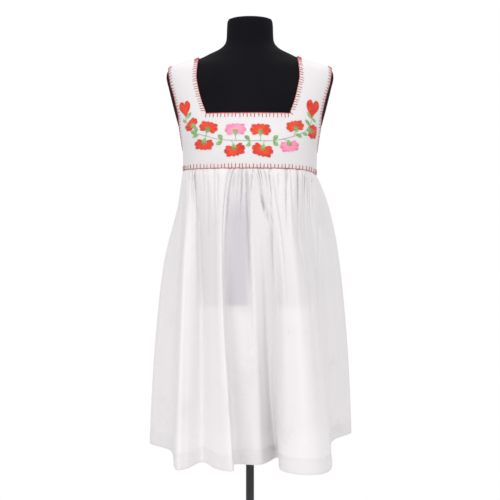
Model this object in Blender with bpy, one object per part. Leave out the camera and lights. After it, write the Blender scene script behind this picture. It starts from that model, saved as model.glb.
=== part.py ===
"""A sleeveless embroidered folk dress on a limbless dress form with a pole stand.

Metres, +Z up, the dress's front towards -Y, the floor at Z = 0 and the pole's axis on X = Y = 0.
The dress is four cut panels: a front and a back yoke, each with its two shoulder straps, and a front
and a back skirt gathered onto them. Each panel is a thin wall, lifted off the form that carries it.
Angles go round the dress from its side seam at -X (0 degrees), over the front (90) to the side seam
at +X (180), and over the back (270).
"""

import bmesh
import bpy
import numpy as np

# Heights above the floor.
NECKLINE = {-1: 1.259, 1: 1.268}  # lower edge of the square neckline, at the front (-1) and the back (1)
UNDERARM = 1.188
WAIST_SEAM = 1.136
SEAM_DIP = 0.0105  # how much lower that seam is at the side seam at +X
SEAM_DIP_SPREAD = 34  # degrees from there over which the dip dies away
HEM = 0.485
BASE_THICK = 0.008
BASE_RADIUS = 0.170
BASE_BEVEL = 0.002
SOCKET_RADIUS = 0.020
BASE_SOCKET_TOP = 0.042
FORM_SOCKET_TALL = 0.030
POLE_RADIUS = 0.0095

CLOTH = 0.0012  # wall of the yoke and the skirt
STITCHING = 0.0009  # height that the filled embroidery stands off the cloth
GAP = 0.0003  # between pieces that meet at a seam or lie on each other
HALF_GAP = GAP / 2

# The form, from its lower edge to the top of its neck. squareness is the exponent of the section's
# superellipse: 2 is an ellipse, and more is boxier.
FORM_COLUMNS = ("height", "half_width", "front", "back", "squareness")
FORM_SECTIONS = (
    (0.831, 0.143, 0.095, 0.105, 2.2),
    (0.838, 0.151, 0.102, 0.112, 2.2),
    (0.900, 0.142, 0.100, 0.104, 2.2),
    (0.985, 0.116, 0.092, 0.080, 2.1),
    (1.085, 0.136, 0.114, 0.091, 2.2),
    (1.136, 0.1462, 0.133, 0.098, 2.4),
    (1.180, 0.1488, 0.131, 0.102, 2.4),
    (1.242, 0.1665, 0.115, 0.107, 2.4),
    (1.287, 0.1785, 0.101, 0.107, 2.35),
    (1.3245, 0.1876, 0.090, 0.104, 2.25),
    (1.352, 0.1934, 0.081, 0.099, 2.05),
    (1.362, 0.1920, 0.0775, 0.0965, 1.95),
    (1.3715, 0.1850, 0.074, 0.093, 1.85),
    (1.3955, 0.1150, 0.064, 0.082, 1.7),
    (1.4060, 0.0935, 0.060, 0.077, 1.7),
    (1.4181, 0.0690, 0.056, 0.070, 1.75),
    (1.4300, 0.0575, 0.0535, 0.063, 1.85),
    (1.4400, 0.0545, 0.052, 0.060, 1.95),
    (1.477, 0.0525, 0.050, 0.054, 2.0),
    (1.484, 0.0500, 0.0475, 0.0515, 2.0),
    (1.486, 0.0450, 0.0425, 0.0465, 2.0),
)
FORM_POINTS = 36
FORM_RING_HEIGHTS = (
    [0.831, 0.838]
    + list(np.linspace(0.868, 1.340, 15))
    + [1.350, 1.358, 1.365, 1.3715, 1.378, 1.384, 1.390, 1.3955, 1.401, 1.406, 1.412, 1.4181, 1.424]
    + [1.430, 1.440, 1.458, 1.477, 1.484, 1.486]
)

# How far the cloth stands off the form, from the shoulder down to the seam under the bust.
EASE_COLUMNS = ("height", "ease")
EASE = (
    (1.136, 0.0075),
    (1.200, 0.0050),
    (1.262, 0.0022),
    (1.345, 0.0016),
    (1.367, 0.0026),
    (1.385, 0.0016),
    (1.410, 0.0014),
)

# Folds of the skirt, once round from the side seam at -X. Each is one ridge or valley: the angle at
# which it leaves the yoke, where it crosses the hem, how far the hem is drawn up there, how early it
# opens out on its way down (0.5 evenly, more sooner, less later), how much the gathers hold it back,
# and how far it sways towards +X below them.
FOLD_COLUMNS = ("fold", "angle", "hem_x", "hem_y", "hem_up", "opens", "held", "sway")
FRONT_FOLDS = (
    ("side seam, left", 0, -0.238, 0.030, 0.009, 0.75, 0.55, 0),
    ("valley", 14, -0.182, -0.052, 0.008, 0.52, 0.5, 0),
    ("left panel, outer ridge", 26, -0.163, -0.184, 0, 0.62, 0.5, 0),
    ("left panel, outer flat", 33, -0.138, -0.187, 0, 0.60, 0.5, 0),
    ("left panel, middle valley", 41, -0.105, -0.154, 0.007, 0.46, 0.3, 0.006),
    ("left panel, inner flat", 58, -0.072, -0.188, 0, 0.60, 0.2, 0),
    ("left panel, inner ridge", 76, -0.036, -0.206, 0, 0.60, 0, -0.018),
    ("centre valley, left", 82, -0.032, -0.146, 0, 0.30, 0, -0.016),
    ("centre valley, middle", 88, 0.024, -0.149, 0, 0.42, 0, 0.004),
    ("centre valley, right", 93, 0.062, -0.100, 0.004, 0.30, 0, 0.014),
    ("right panel, inner ridge", 98, 0.066, -0.204, 0.002, 0.60, 0, 0.015),
    ("right panel, middle", 116, 0.126, -0.240, 0, 0.66, 0.3, 0),
    ("right panel, outer ridge", 132, 0.176, -0.186, 0, 0.50, 0.9, 0),
    ("valley", 146, 0.190, -0.040, 0.028, 0.58, 0.3, 0),
)
BACK_FOLDS = (
    ("side seam, right", 180, 0.244, 0.070, 0.027, 0.80, 0, 0),
    ("valley", 198, 0.190, 0.126, 0.016, 0.60, 0.1, 0),
    ("ridge", 214, 0.172, 0.206, 0.006, 0.66, 0.3, 0),
    ("valley", 230, 0.116, 0.156, 0.004, 0.50, 0.3, 0),
    ("ridge", 246, 0.074, 0.234, 0, 0.64, 0.3, 0),
    ("valley", 262, 0.026, 0.158, 0.002, 0.45, 0.3, 0),
    ("ridge", 278, -0.022, 0.238, 0, 0.64, 0.3, 0),
    ("valley", 294, -0.072, 0.156, 0.003, 0.45, 0.3, 0),
    ("ridge", 312, -0.128, 0.222, 0, 0.66, 0.3, 0),
    ("valley", 330, -0.166, 0.132, 0.004, 0.52, 0.4, 0),
    ("ridge", 346, -0.214, 0.116, 0.005, 0.66, 0.5, 0),
)
SKIRT_COLUMNS = 96  # across one skirt panel
COLUMNS_A_GATHER = 4
SKIRT_ROWS = (0.0, 0.02, 0.05, 0.095, 0.16, 0.25, 0.37, 0.51, 0.66, 0.81, 0.95, 1.0)
GATHER_DEPTH = 0.0030  # from a gather's middle to its crest, where it is deepest
GATHER_FADE = 0.13  # share of the skirt's length over which a gather dies away
FORM_CLEARANCE = 0.004

# Square-necked yoke: how far its straps' edges lie from the middle, from the neckline's lower edge
# (0) to the top of the shoulder (1), and how far the neckline sits towards +X, or -X where negative.
NECK_SIDEWAYS = -0.0045
STRAP_EDGE_COLUMNS = ("rise", "neck", "armhole")
STRAP_EDGES = (
    (0.00, 0.0915, 0.1598),
    (0.11, 0.1012, 0.1652),
    (0.26, 0.1095, 0.1720),
    (0.45, 0.1150, 0.1800),
    (0.63, 0.1135, 0.1835),
    (1.00, 0.1122, 0.1862),
)
STRAP_COLUMNS = 4
NECK_COLUMNS = 10
LOWER_ROWS = (0.0, 0.14, 0.28, 0.42, 0.50, 0.62, 0.80, 1.0)
STRAP_ROWS = 9
SHOULDER_ROUNDING = 1.7

# Embroidery on the front yoke: blossoms and hearts, placed by their middle in the front view. turn
# is anticlockwise, and 180 hangs upside down. width is in the front view.
MOTIF_COLUMNS = ("name", "x", "z", "turn", "width", "thread")
BLOSSOMS = (
    ("blossom_upper_1", -0.1286, 1.2365, 50, 0.033, "red"),
    ("blossom_upper_2", -0.0898, 1.2280, -16, 0.0430, "red"),
    ("blossom_upper_3", -0.0317, 1.2220, 2, 0.0470, "pink"),
    ("blossom_upper_4", 0.0229, 1.2210, -2, 0.0465, "red"),
    ("blossom_upper_5", 0.0980, 1.2308, 14, 0.0410, "red"),
    ("blossom_lower_1", -0.0981, 1.1887, 174, 0.0420, "red"),
    ("blossom_lower_2", -0.0325, 1.1750, 192, 0.0460, "red"),
    ("blossom_lower_3", 0.0264, 1.1745, 166, 0.0470, "red"),
    ("blossom_lower_4", 0.0844, 1.1845, 190, 0.0420, "pink"),
    ("blossom_lower_5", 0.1372, 1.2210, 258, 0.033, "red"),
)
HEARTS = (
    ("heart_left", -0.1442, 1.2735, 9, 0.0240, "red"),
    ("heart_right", 0.1385, 1.2735, -8, 0.0275, "red"),
)
LEAVES = (
    ("leaf_left_1", -0.0635, 1.2055, -64, 0.0100, "green"),
    ("leaf_left_2", -0.0690, 1.1905, 64, 0.0100, "green"),
    ("leaf_middle_1", -0.0050, 1.2025, -64, 0.0100, "green"),
    ("leaf_middle_2", -0.0040, 1.1885, 64, 0.0100, "green"),
    ("leaf_right_1", 0.0570, 1.2045, 64, 0.0100, "green"),
    ("leaf_right_2", 0.0555, 1.1895, -64, 0.0100, "green"),
)
# A blossom's edge from its middle, as a share of its width: a fan, with a notch below for its calyx.
PETAL_COLUMNS = ("angle", "reach")
PETALS = (
    (-90, 0.11),
    (-70, 0.19),
    (-45, 0.37),
    (-25, 0.47),
    (0, 0.46),
    (20, 0.46),
    (45, 0.34),
    (70, 0.27),
    (90, 0.25),
)
SCALLOP = 0.05
HEART_TALL = 1.80
LEAF_WIDE = 0.50
VINE_COLUMNS = ("x", "z")
VINE = (
    (-0.117, 1.2180),
    (-0.098, 1.2085),
    (-0.067, 1.1985),
    (-0.018, 1.1955),
    (0.049, 1.1964),
    (0.089, 1.2052),
    (0.124, 1.2205),
)
VINE_WIDTH = 0.0016
VINE_STEPS = 30

# Colour, roughness and metallic value of each material.
MATERIALS = {
    "white_cotton": ((0.80, 0.77, 0.78), 0.85, 0.0),
    "black_jersey": ((0.008, 0.008, 0.011), 0.90, 0.0),
    "black_steel": ((0.030, 0.030, 0.032), 0.35, 0.6),
    "red": ((0.85, 0.070, 0.025), 0.60, 0.0),
    "pink": ((0.90, 0.270, 0.480), 0.60, 0.0),
    "green": ((0.200, 0.420, 0.085), 0.60, 0.0),
}


def column(rows, columns, name):
    """One named column of a table, as an array."""
    return np.array([row[columns.index(name)] for row in rows])


def smooth(x, xs, ys):
    """The value at x of a smooth curve through the points (xs, ys) that never overshoots them."""
    step = np.diff(xs)
    slope = np.diff(ys) / step
    tangent = np.zeros(len(xs))
    turning = slope[:-1] * slope[1:] <= 0
    before, after = 2 * step[1:] + step[:-1], step[1:] + 2 * step[:-1]
    with np.errstate(divide="ignore", invalid="ignore"):
        mean = (before + after) / (before / slope[:-1] + after / slope[1:])
    tangent[1:-1] = np.where(turning, 0.0, mean)
    tangent[0], tangent[-1] = slope[0], slope[-1]
    x = np.clip(x, xs[0], xs[-1])
    i = np.clip(np.searchsorted(xs, x, side="right") - 1, 0, len(step) - 1)
    t = (x - xs[i]) / step[i]
    return (
        ys[i] * (1 + 2 * t) * (1 - t) ** 2
        + ys[i + 1] * t**2 * (3 - 2 * t)
        + step[i] * (tangent[i] * t * (1 - t) ** 2 - tangent[i + 1] * t**2 * (1 - t))
    )


def form_size(height, name):
    """One column of FORM_SECTIONS at any height."""
    heights = column(FORM_SECTIONS, FORM_COLUMNS, "height")
    return smooth(height, heights, column(FORM_SECTIONS, FORM_COLUMNS, name))


def ease(height):
    return smooth(height, column(EASE, EASE_COLUMNS, "height"), column(EASE, EASE_COLUMNS, "ease"))


def depth(height, y):
    """The form's depth at that height, towards the front where y is negative and the back elsewhere."""
    return np.where(y < 0, form_size(height, "front"), form_size(height, "back"))


def form_point(height, angle):
    """The point of the form's surface at that height and angle."""
    height, turn = np.broadcast_arrays(height, np.radians(angle))
    power = 2 / form_size(height, "squareness")
    side, ahead = np.cos(turn), np.sin(turn)
    x = -form_size(height, "half_width") * np.sign(side) * np.abs(side) ** power
    y = -depth(height, -ahead) * np.sign(ahead) * np.abs(ahead) ** power
    return np.stack([x, y, height], axis=-1)


def form_face(x, height, side):
    """The point of the form's front (side -1) or back (side 1) that lies at x and that height."""
    x, height = np.broadcast_arrays(x, height)
    across = np.clip(np.abs(x) / form_size(height, "half_width"), 0, 1)
    power = form_size(height, "squareness")
    y = side * depth(height, np.full_like(height, side)) * (1 - across**power) ** (1 / power)
    return np.stack([x, y, height], axis=-1)


def outside_form(points):
    """How far round the form a point lies: 1 on its surface, more outside it."""
    x, y, z = np.moveaxis(points, -1, 0)
    power = form_size(z, "squareness")
    across, along = np.abs(x) / form_size(z, "half_width"), np.abs(y) / depth(z, y)
    return (across**power + along**power) ** (1 / power)


def lift(points, distance):
    """The points, moved that far out along the normal of the form's surface."""
    nudge = 1e-5
    moved = [outside_form(points + nudge * way) - outside_form(points - nudge * way) for way in np.eye(3)]
    normal = np.stack(moved, axis=-1)
    normal /= np.linalg.norm(normal, axis=-1, keepdims=True)
    return points + normal * np.asarray(distance)[..., None]


def shoulder_height(x):
    """The height of the form's shoulder line at x, where its front meets its back."""
    heights = np.linspace(1.3620, 1.4400, 200)
    widths = form_size(heights, "half_width")
    return np.interp(np.abs(x), widths[::-1], heights[::-1])


def new_object(name, points, faces, material, smooth_shaded=True):
    mesh = bpy.data.meshes.new(name)
    mesh.from_pydata([tuple(map(float, p)) for p in points], [], faces)
    obj = bpy.data.objects.new(name, mesh)
    bpy.context.scene.collection.objects.link(obj)
    if smooth_shaded:
        mesh.shade_smooth()
    mesh.materials.append(material_named(material))
    return obj


def material_named(name):
    found = bpy.data.materials.get(name)
    if found:
        return found
    colour, roughness, metallic = MATERIALS[name]
    made = bpy.data.materials.new(name)
    made.use_nodes = True
    shader = made.node_tree.nodes["Principled BSDF"]
    shader.inputs["Base Color"].default_value = (*colour, 1.0)
    shader.inputs["Roughness"].default_value = roughness
    shader.inputs["Metallic"].default_value = metallic
    return made


def new_wall(name, inner, outer, faces, material):
    """A closed wall between two sheets of points that share one set of faces."""
    count = len(inner)
    edges = {edge for face in faces for edge in zip(face, face[1:] + face[:1])}
    rim = [(b + count, a + count, a, b) for a, b in sorted(edges) if (b, a) not in edges]
    outside = [tuple(corner + count for corner in face) for face in faces]
    inside = [face[::-1] for face in faces]
    return new_object(name, np.concatenate([inner, outer]), inside + outside + rim, material)


def grid_faces(rows, columns, first=0):
    """Faces of a grid whose points run along a row first, facing out when the rows go up and the
    columns go round with the angle."""
    return [
        (a, a + 1, a + columns + 1, a + columns)
        for row in range(rows - 1)
        for a in range(first + row * columns, first + row * columns + columns - 1)
    ]


def make_form():
    angles = np.arange(FORM_POINTS) * 360 / FORM_POINTS
    rings = [form_point(height, angles) for height in FORM_RING_HEIGHTS]
    points = np.concatenate(rings)
    faces = []
    for ring in range(len(rings) - 1):
        for i in range(FORM_POINTS):
            here, after = ring * FORM_POINTS + i, ring * FORM_POINTS + (i + 1) % FORM_POINTS
            faces.append((here, here + FORM_POINTS, after + FORM_POINTS, after))
    last = (len(rings) - 1) * FORM_POINTS
    faces.append(tuple(range(FORM_POINTS)))
    faces.append(tuple(reversed(range(last, last + FORM_POINTS))))
    outward(new_object("form", points, faces, "black_jersey"))


def outward(obj):
    """Turns an object's faces to point out of it."""
    work = bmesh.new()
    work.from_mesh(obj.data)
    bmesh.ops.recalc_face_normals(work, faces=work.faces)
    work.to_mesh(obj.data)
    work.free()
    return obj


def make_turned(name, profile, material, steps=32):
    """A round solid from (radius, height) points, bottom to top, closed on its axis at both ends."""
    work = bmesh.new()
    corners = [work.verts.new((radius, 0, height)) for radius, height in profile]
    edges = [work.edges.new(pair) for pair in zip(corners, corners[1:])]
    bmesh.ops.spin(
        work, geom=corners + edges, axis=(0, 0, 1), cent=(0, 0, 0), steps=steps, angle=2 * np.pi
    )
    bmesh.ops.remove_doubles(work, verts=work.verts, dist=1e-6)
    bmesh.ops.recalc_face_normals(work, faces=work.faces)
    mesh = bpy.data.meshes.new(name)
    work.to_mesh(mesh)
    work.free()
    mesh.shade_smooth()
    mesh.set_sharp_from_angle(angle=np.radians(40))
    mesh.materials.append(material_named(material))
    obj = bpy.data.objects.new(name, mesh)
    bpy.context.scene.collection.objects.link(obj)
    return obj


def make_stand():
    """A flat round base with a socket, the pole, and the socket under the form."""
    rim = BASE_RADIUS - BASE_BEVEL
    base = [
        (0, 0),
        (rim, 0),
        (BASE_RADIUS, BASE_BEVEL),
        (BASE_RADIUS, BASE_THICK - BASE_BEVEL),
        (rim, BASE_THICK),
        (SOCKET_RADIUS, BASE_THICK),
        (SOCKET_RADIUS, BASE_SOCKET_TOP - BASE_BEVEL),
        (SOCKET_RADIUS - BASE_BEVEL, BASE_SOCKET_TOP),
        (0, BASE_SOCKET_TOP),
    ]
    make_turned("base", base, "black_steel", steps=48)
    form_bottom = FORM_SECTIONS[0][0]
    socket_bottom = form_bottom - GAP - FORM_SOCKET_TALL
    pole_bottom, pole_top = BASE_SOCKET_TOP + GAP, socket_bottom - GAP
    pole = [(0, pole_bottom), (POLE_RADIUS, pole_bottom), (POLE_RADIUS, pole_top), (0, pole_top)]
    make_turned("pole", pole, "black_steel", steps=24)
    socket_top = form_bottom - GAP
    socket = [
        (0, socket_bottom),
        (SOCKET_RADIUS - BASE_BEVEL, socket_bottom),
        (SOCKET_RADIUS, socket_bottom + BASE_BEVEL),
        (SOCKET_RADIUS, socket_top),
        (0, socket_top),
    ]
    make_turned("form_socket", socket, "black_steel")


def armhole_angle(height, side):
    """The angle from the side at which the armhole cuts the yoke below the neckline: it starts at the
    underarm and curves in and up."""
    top = NECKLINE[side]
    across = strap_edges(0, 1)[1] / form_size(top, "half_width")
    full = np.degrees(np.arccos(across ** (form_size(top, "squareness") / 2)))
    return full * np.clip((height - UNDERARM) / (top - UNDERARM), 0, 1) ** 0.5


def strap_edges(rise, hand):
    """How far from the middle a strap's neck edge and armhole edge lie, from the neckline (0) to the
    shoulder (1). hand is -1 on the -X side."""
    rises, necks, armholes = (column(STRAP_EDGES, STRAP_EDGE_COLUMNS, name) for name in STRAP_EDGE_COLUMNS)
    return smooth(rise, rises, necks) + hand * NECK_SIDEWAYS, smooth(rise, rises, armholes)


def yoke_columns(side):
    """How far round the lower yoke its columns lie, from one armhole (0) over the middle to the other
    (1), so that they carry on into the straps and round the neckline."""
    top = NECKLINE[side]
    (left_neck, left_arm), (right_neck, right_arm) = strap_edges(0, -1), strap_edges(0, 1)
    across = np.concatenate(
        [
            np.linspace(left_arm, left_neck, STRAP_COLUMNS + 1),
            np.linspace(left_neck, -right_neck, NECK_COLUMNS + 1)[1:-1],
            np.linspace(-right_neck, -right_arm, STRAP_COLUMNS + 1),
        ]
    )
    ratio = across / form_size(top, "half_width")
    cosine = np.sign(ratio) * np.abs(ratio) ** (form_size(top, "squareness") / 2)
    angle = np.degrees(np.arccos(cosine))
    return (angle - angle[0]) / (angle[-1] - angle[0])


def yoke_row(height, columns, side, off):
    """The yoke's points at one height below the neckline."""
    start = armhole_angle(height, side)
    angles = (start + columns * (180 - 2 * start)) * -side
    seam = seam_height(angles)
    heights = seam + (height - WAIST_SEAM) / (NECKLINE[side] - WAIST_SEAM) * (NECKLINE[side] - seam)
    on_form = form_point(heights, angles)
    points = lift(on_form, ease(heights) + off)
    points[[0, -1], 1] += side * HALF_GAP
    if height == WAIST_SEAM:
        points[:, 2] = seam
    return points


def strap_row(rise, hand, side, off):
    """A strap's points at one share of the way up to the shoulder line. hand is -1 on the -X side."""
    neck, arm = strap_edges(rise, hand)
    outer_to_inner = np.linspace(arm, neck, STRAP_COLUMNS + 1)
    x = hand * (outer_to_inner if hand < 0 else outer_to_inner[::-1])
    top = shoulder_height(x)
    height = NECKLINE[side] + (1 - (1 - rise) ** SHOULDER_ROUNDING) * (top - NECKLINE[side])
    points = lift(form_face(x, height, side), ease(height) + off)
    if rise == 1:
        points[:, 1] = side * HALF_GAP
    return points


def yoke_sheet(side, off):
    """One face of a yoke: its rows from the seam to the neckline, then each strap's rows."""
    columns = yoke_columns(side)
    heights = WAIST_SEAM + np.array(LOWER_ROWS) * (NECKLINE[side] - WAIST_SEAM)
    parts = [yoke_row(height, columns, side, off) for height in heights]
    for hand in (-1, 1):
        parts += [strap_row(rise, hand, side, off) for rise in np.arange(1, STRAP_ROWS + 1) / STRAP_ROWS]
    return np.concatenate(parts)


def make_yoke(name, side):
    wide = len(yoke_columns(side))
    faces = grid_faces(len(LOWER_ROWS), wide)
    first = len(LOWER_ROWS) * wide
    across = STRAP_COLUMNS + 1
    for first_column in (0, wide - across):
        below = [(len(LOWER_ROWS) - 1) * wide + first_column + i for i in range(across)]
        for _ in range(STRAP_ROWS):
            here = [first + i for i in range(across)]
            faces += [(below[i], below[i + 1], here[i + 1], here[i]) for i in range(across - 1)]
            below = here
            first += across
    if side > 0:
        faces = [face[::-1] for face in faces]
    new_wall(name, yoke_sheet(side, 0), yoke_sheet(side, CLOTH), faces, "white_cotton")


def opening(share, opens, held):
    """How far a fold has opened out at a share of the way down: 0 at the seam, 1 at the hem. held is
    how much the gathers keep it back near the seam."""
    return share / ((1 / opens - 2) * (1 - share) + 1) * (1 - held * np.exp(-((share / 0.22) ** 2.5)))


def through_folds(values, place):
    """A smooth closed curve through one value a fold, read at places counted in folds."""
    count = len(values)
    i = np.floor(place).astype(int)
    t = (place - i)[:, None]
    before, here, after, beyond = (values[(i + k) % count] for k in (-1, 0, 1, 2))
    return 0.5 * (
        2 * here
        + (after - before) * t
        + (2 * before - 5 * here + 4 * after - beyond) * t**2
        + (3 * here - before - 3 * after + beyond) * t**3
    )


def column_places(folds, first, last):
    """Where the columns of one skirt panel lie, counted in folds, evenly along the hem."""
    fine = np.linspace(first, last, 40 * (last - first) + 1)
    hem = np.stack([column(folds, FOLD_COLUMNS, "hem_x"), column(folds, FOLD_COLUMNS, "hem_y")], axis=-1)
    along = through_folds(hem, fine)
    length = np.concatenate([[0], np.cumsum(np.linalg.norm(np.diff(along, axis=0), axis=1))])
    return np.interp(np.linspace(0, length[-1], SKIRT_COLUMNS + 1), length, fine)


def skirt_loops():
    """Closed loops of points round the skirt's inner face, from the seam down."""
    folds = FRONT_FOLDS + BACK_FOLDS
    halves = (0, len(FRONT_FOLDS), len(folds))
    place = np.concatenate([column_places(folds, a, b)[:-1] for a, b in zip(halves, halves[1:])])
    angle = column(folds, FOLD_COLUMNS, "angle").astype(float)
    hem = np.stack([column(folds, FOLD_COLUMNS, "hem_x"), column(folds, FOLD_COLUMNS, "hem_y")], axis=-1)
    opens, held, sway = (column(folds, FOLD_COLUMNS, name)[:, None] for name in ("opens", "held", "sway"))
    hem_height = HEM + through_folds(column(folds, FOLD_COLUMNS, "hem_up")[:, None], place)[:, 0]
    yoke_edge = at_seam(angle)
    turns = np.append(angle, 360.0)
    turn = smooth(place, np.arange(len(turns)), turns)
    top, top_height = at_seam(turn), seam_height(turn) - GAP
    gather = np.arange(len(place)) / COLUMNS_A_GATHER
    wave = np.cos(2 * np.pi * gather) * (0.75 + 0.25 * np.sin(2.3 * gather))
    loops = []
    for share in SKIRT_ROWS:
        away = (hem - yoke_edge) * opening(share, opens, held) + sway * (np.sin(np.pi * share**0.6), 0)
        row = top + through_folds(away, place)
        along = np.roll(row, -1, axis=0) - np.roll(row, 1, axis=0)
        out = np.stack([along[:, 1], -along[:, 0]], axis=-1) / np.linalg.norm(along, axis=1, keepdims=True)
        swell = (0.25 + 0.75 * min(1, share / 0.05)) * np.exp(-((share / GATHER_FADE) ** 2))
        row = row + out * (GATHER_DEPTH * swell * (wave + 0.6))[:, None]
        height = top_height - share * (top_height - hem_height)
        loops.append(clear_of_form(np.column_stack([row, height])))
    return np.stack(loops)


def seam_height(angle):
    """The height of the seam between yoke and skirt, which dips at the side seam at +X."""
    return WAIST_SEAM - SEAM_DIP * np.exp(-((np.abs((angle % 360) - 180) / SEAM_DIP_SPREAD) ** 2))


def at_seam(angle):
    """Where the yoke's lower edge lies at an angle, from above."""
    height = seam_height(angle)
    return lift(form_point(height, angle), ease(height))[:, :2]


def thickness_ways(loops):
    """The direction in which the wall of the skirt grows at each point: level at its two edges."""
    along = np.roll(loops, -1, axis=1) - np.roll(loops, 1, axis=1)
    normal = np.cross(along, -np.gradient(loops, axis=0))
    normal[[0, -1], :, 2] = 0
    return normal / np.linalg.norm(normal, axis=-1, keepdims=True)


def clear_of_form(points):
    """Pushes points straight out from the pole's axis where they would lie in or too near the form."""
    share = outside_form(points)
    reach = np.linalg.norm(points[:, :2], axis=1)
    least = np.where(points[:, 2] > FORM_SECTIONS[0][0] - 0.02, 1 + FORM_CLEARANCE / (reach / share), 0)
    points[:, :2] *= np.maximum(1, least / share)[:, None]
    return points


def make_skirt():
    inner = skirt_loops()
    outer = inner + CLOTH * thickness_ways(inner)
    faces = grid_faces(len(SKIRT_ROWS), SKIRT_COLUMNS + 1)
    for name, first in (("skirt_front", 0), ("skirt_back", SKIRT_COLUMNS)):
        columns = (first + np.arange(SKIRT_COLUMNS + 1)) % inner.shape[1]
        sheets = []
        for loops in (inner, outer):
            panel = loops[::-1, columns].copy()
            for end, beside in ((0, 1), (-1, -2)):
                way = panel[:, beside] - panel[:, end]
                panel[:, end] += HALF_GAP * way / np.linalg.norm(way, axis=1, keepdims=True)
            sheets.append(panel.reshape(-1, 3))
        new_wall(name, *sheets, faces, "white_cotton")


def on_yoke(x, z, off):
    """Points on the front yoke's outer face, moved out from it."""
    points = form_face(x, z, -1)
    return lift(points, ease(points[..., 2]) + CLOTH + off)


def blossom_outline(angle):
    """A fan of small scallops, one way up on both sides."""
    side = np.degrees(np.arcsin(np.sin(angle)))
    angles, reaches = (column(PETALS, PETAL_COLUMNS, name) for name in PETAL_COLUMNS)
    reach = smooth(side, angles, reaches) * (1 + SCALLOP * np.where(np.arange(len(angle)) % 2, -1, 1))
    return reach * np.cos(angle), reach * np.sin(angle)


def heart_outline(angle):
    """Two round lobes above a long point."""
    t = np.pi / 2 - angle
    z = 13 * np.cos(t) - 5 * np.cos(2 * t) - 2 * np.cos(3 * t) - np.cos(4 * t)
    return 0.5 * np.sin(t) ** 3, HEART_TALL * z / 34


def leaf_outline(angle):
    return 0.5 * np.cos(angle), LEAF_WIDE * 0.5 * np.sin(angle)


def make_motif(row, outline, around, rings):
    """One filled shape of embroidery: a low pad that follows the yoke."""
    name, x, z, turn, width, thread = row
    across, up = outline(np.arange(around) * 2 * np.pi / around)
    cosine, sine = np.cos(np.radians(turn)), np.sin(np.radians(turn))
    edge = width * np.stack([across * cosine - up * sine, across * sine + up * cosine], axis=-1)
    flat = np.concatenate([share / rings * edge for share in range(1, rings + 1)])
    flat = np.concatenate([np.zeros((1, 2)), flat])
    inner, outer = (on_yoke(x + flat[:, 0], z + flat[:, 1], off) for off in (2 * GAP, 2 * GAP + STITCHING))
    faces = [(0, 1 + i, 1 + (i + 1) % around) for i in range(around)]
    for ring in range(rings - 1):
        near, far = 1 + ring * around, 1 + (ring + 1) * around
        for i in range(around):
            after = (i + 1) % around
            faces.append((near + i, far + i, far + after, near + after))
    new_wall(name, inner, outer, faces, thread)


def make_vine():
    """The stem that links the blossoms: low in the middle, rising to each side."""
    xs, zs = (column(VINE, VINE_COLUMNS, name) for name in VINE_COLUMNS)
    x = np.linspace(xs[0], xs[-1], VINE_STEPS + 1)
    z = smooth(x, xs, zs)
    slope = np.gradient(z, x)
    across = np.stack([-slope, np.ones_like(slope)]) / np.hypot(1, slope)
    half = VINE_WIDTH / 2 * np.array([-1, 1])[:, None]
    inner, outer = (
        on_yoke(x + half * across[0], z + half * across[1], off).reshape(-1, 3)
        for off in (2 * GAP, 2 * GAP + STITCHING)
    )
    new_wall("vine", inner, outer, grid_faces(2, VINE_STEPS + 1), "green")


def make_embroidery():
    for row in BLOSSOMS:
        make_motif(row, blossom_outline, around=24, rings=2)
    for row in HEARTS:
        make_motif(row, heart_outline, around=16, rings=2)
    for row in LEAVES:
        make_motif(row, leaf_outline, around=8, rings=1)
    make_vine()


def main():
    for obj in list(bpy.data.objects):
        bpy.data.objects.remove(obj)
    make_form()
    make_stand()
    make_yoke("yoke_front", -1)
    make_yoke("yoke_back", 1)
    make_skirt()
    make_embroidery()


main()
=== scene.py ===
"""The looks of the embroidered dress on its form: fine cloth shells, thread by thread embroidery, and
the materials, light and camera of the photograph.

Metres, +Z up, the dress's front towards -Y. Angles go round the dress from its side seam at -X (0
degrees), over the front (90) to the side seam at +X (180), and over the back (270).
"""

import bpy
import numpy as np
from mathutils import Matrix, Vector
from mathutils.bvhtree import BVHTree


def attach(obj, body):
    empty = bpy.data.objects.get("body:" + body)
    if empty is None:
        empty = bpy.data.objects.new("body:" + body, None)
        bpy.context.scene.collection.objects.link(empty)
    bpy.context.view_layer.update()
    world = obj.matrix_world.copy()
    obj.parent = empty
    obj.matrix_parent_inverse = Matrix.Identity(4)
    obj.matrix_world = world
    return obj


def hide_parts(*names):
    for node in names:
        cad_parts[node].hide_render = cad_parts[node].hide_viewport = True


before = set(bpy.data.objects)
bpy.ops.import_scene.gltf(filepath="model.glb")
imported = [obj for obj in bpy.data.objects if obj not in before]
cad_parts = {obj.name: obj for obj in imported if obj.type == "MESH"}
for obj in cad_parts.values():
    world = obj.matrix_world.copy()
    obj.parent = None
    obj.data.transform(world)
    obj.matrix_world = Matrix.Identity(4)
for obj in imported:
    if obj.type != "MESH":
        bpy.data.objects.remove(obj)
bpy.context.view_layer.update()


def table(names, rows):
    """The columns of a table by their names, each an array."""
    return {name: np.array(values) for name, values in zip(names, zip(*rows))}


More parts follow.
